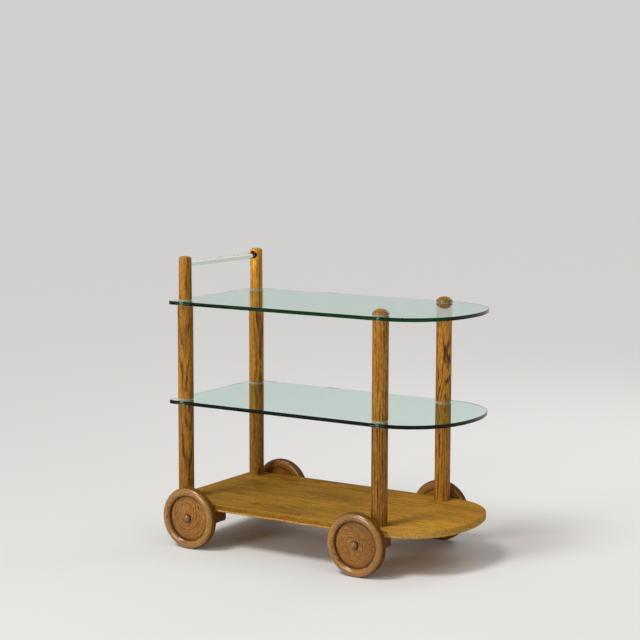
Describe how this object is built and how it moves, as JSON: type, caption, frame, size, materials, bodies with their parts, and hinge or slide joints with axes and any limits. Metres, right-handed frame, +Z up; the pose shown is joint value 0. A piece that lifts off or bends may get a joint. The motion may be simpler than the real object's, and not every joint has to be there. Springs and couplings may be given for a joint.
{
  "type": "bar cart",
  "caption": "Rolling bar cart: oak deck on turned wooden wheels, oak posts carrying two clear glass shelves with a rounded nose, and a clear push rod between raised rear posts.",
  "frame": {"origin": "on the floor under the middle of the deck and shelf outline", "axes": "+X towards the rounded nose, +Y to the left of a person pushing from the rear handle, +Z up"},
  "size_m": [0.806, 0.4776, 0.763],
  "materials": {
    "oak_posts": "satin varnished turned oak",
    "oak_deck": "satin varnished flat-sawn oak",
    "oak_caps": "satin varnished turned oak",
    "oak_wheels": "satin varnished turned oak",
    "oak_pegs": "satin varnished turned oak",
    "oak_blocks": "stained oak",
    "shelf_glass": "clear float glass with ground and polished edges",
    "clear_rod": "polished clear rod",
    "clear_washers": "translucent soft washer",
    "steel_fasteners": "zinc plated"
  },
  "bodies": {
    "cart_frame": {"axle_block_front_left": "oak_blocks", "axle_block_front_right": "oak_blocks", "axle_block_rear_left": "oak_blocks", "axle_block_rear_right": "oak_blocks", "axle_block_screws": "steel_fasteners", "axle_peg_front_left": "oak_pegs", "axle_peg_front_right": "oak_pegs", "axle_peg_rear_left": "oak_pegs", "axle_peg_rear_right": "oak_pegs", "cap_studs": "steel_fasteners", "cap_washers": "clear_washers", "deck": "oak_deck", "deck_screw_washers": "steel_fasteners", "deck_screws": "steel_fasteners", "front_cap_left": "oak_caps", "front_cap_right": "oak_caps", "handle_post_left": "oak_posts", "handle_post_right": "oak_posts", "handle_post_washers": "clear_washers", "handle_studs": "steel_fasteners", "lower_post_front_left": "oak_posts", "lower_post_front_right": "oak_posts", "lower_post_rear_left": "oak_posts", "lower_post_rear_right": "oak_posts", "middle_post_front_left": "oak_posts", "middle_post_front_right": "oak_posts", "middle_post_rear_left": "oak_posts", "middle_post_rear_right": "oak_posts", "middle_shelf": "shelf_glass", "middle_shelf_lower_washers": "clear_washers", "middle_shelf_sleeves": "clear_washers", "middle_shelf_studs": "steel_fasteners", "middle_shelf_upper_washers": "clear_washers", "top_shelf": "shelf_glass", "top_shelf_lower_washers": "clear_washers", "top_shelf_sleeves": "clear_washers", "wheel_spacers": "oak_blocks"},
    "wheel_rear_left": {"wheel_rear_left": "oak_wheels"},
    "wheel_rear_right": {"wheel_rear_right": "oak_wheels"},
    "wheel_front_left": {"wheel_front_left": "oak_wheels"},
    "wheel_front_right": {"wheel_front_right": "oak_wheels"},
    "handle_rod": {"handle_rod": "clear_rod"}
  },
  "joints": [
    {"name": "wheel_rear_left_spin", "type": "hinge", "parent": "cart_frame", "child": "wheel_rear_left", "pos_m": [-0.319, 0.2205, 0.081], "axis": [0, 1, 0], "continuous": true},
    {"name": "wheel_rear_right_spin", "type": "hinge", "parent": "cart_frame", "child": "wheel_rear_right", "pos_m": [-0.319, -0.2205, 0.081], "axis": [0, 1, 0], "continuous": true},
    {"name": "wheel_front_left_spin", "type": "hinge", "parent": "cart_frame", "child": "wheel_front_left", "pos_m": [0.191, 0.2205, 0.081], "axis": [0, 1, 0], "continuous": true},
    {"name": "wheel_front_right_spin", "type": "hinge", "parent": "cart_frame", "child": "wheel_front_right", "pos_m": [0.191, -0.2205, 0.081], "axis": [0, 1, 0], "continuous": true},
    {"name": "handle_rod_turn", "type": "hinge", "parent": "cart_frame", "child": "handle_rod", "pos_m": [-0.369, 0, 0.7428], "axis": [0, 1, 0], "continuous": true}
  ]
}
